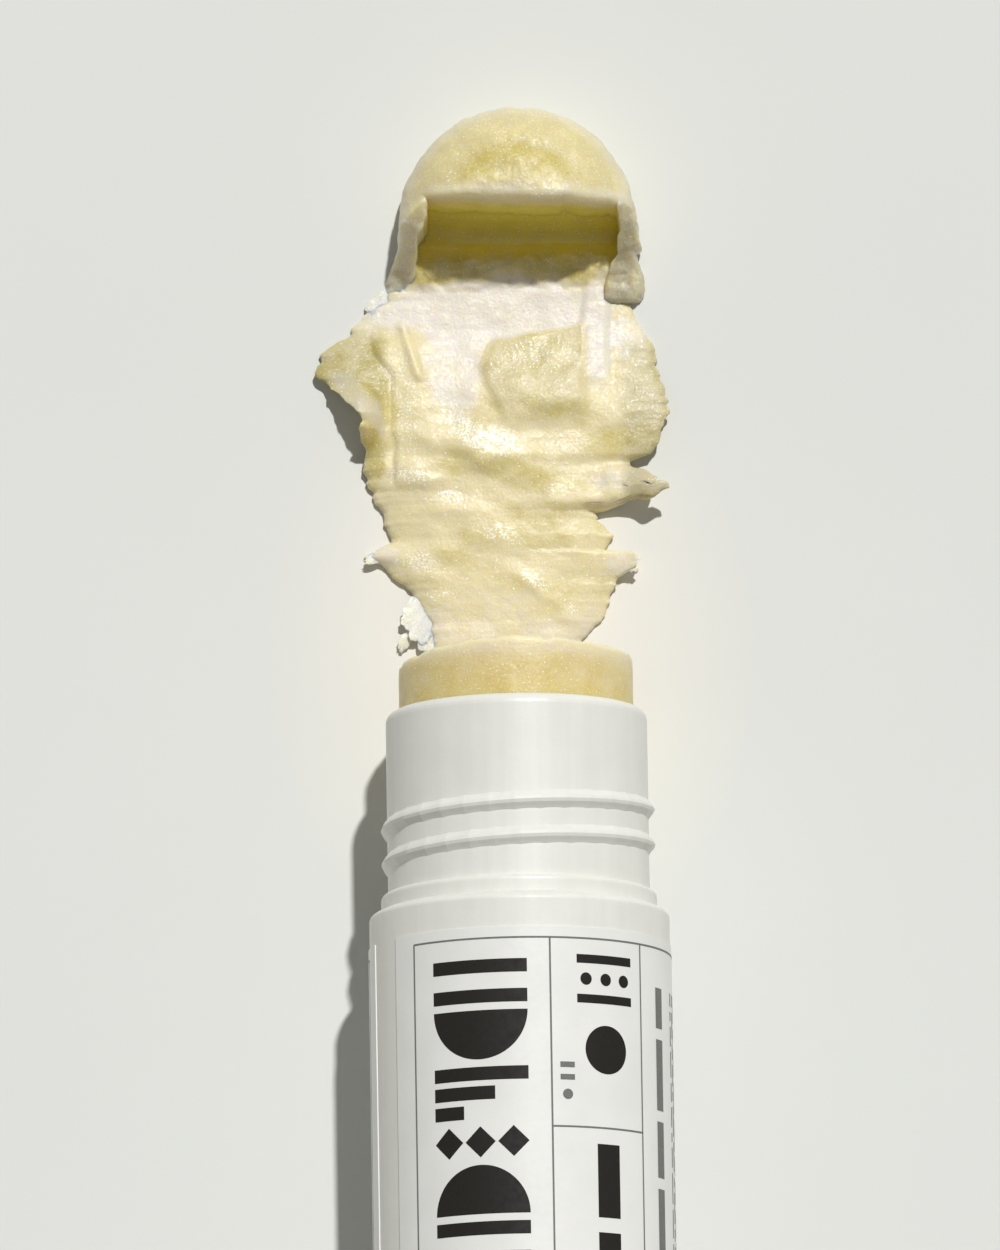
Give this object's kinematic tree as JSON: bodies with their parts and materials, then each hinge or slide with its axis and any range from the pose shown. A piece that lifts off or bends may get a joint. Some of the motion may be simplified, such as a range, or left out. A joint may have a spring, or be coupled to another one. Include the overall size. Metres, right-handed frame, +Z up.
{
  "type": "lip balm",
  "caption": "Twist-up lip balm in a round labelled tube with a threaded neck, cap off, lying on its side; the stick's front end is cut off and smeared out before it.",
  "frame": {"origin": "on the surface it lies on, under the middle of its bounding box", "axes": "+Y along the tube's axis from its grip wheel towards its mouth and the smear, +Z up, +X to the right seen from the wheel's end"},
  "size_m": [0.0282, 0.1212, 0.0244],
  "materials": {
    "tube_plastic": "satin",
    "inner_plastic": "satin",
    "balm": "waxy",
    "label_film": "semi-gloss"
  },
  "bodies": {
    "tube": {"barrel": "tube_plastic", "label": "label_film", "balm_smear": "balm"},
    "wheel": {"base_wheel": "tube_plastic"},
    "stick": {"carrier": "inner_plastic", "balm_stick": "balm"}
  },
  "joints": [
    {"name": "wheel_turn", "type": "hinge", "parent": "tube", "child": "wheel", "pos_m": [0.00145, -0.06055, 0.0122], "axis": [0, 1, 0], "range_deg": [-774, 3186]},
    {"name": "stick_slide", "type": "slide", "parent": "tube", "child": "stick", "axis": [0, 1, 0], "range_m": [-0.0086, 0.0354]}
  ],
  "couplings": [
    {"joint": "stick_slide", "follows": "wheel_turn", "m_per_rad": 0.00063662}
  ]
}
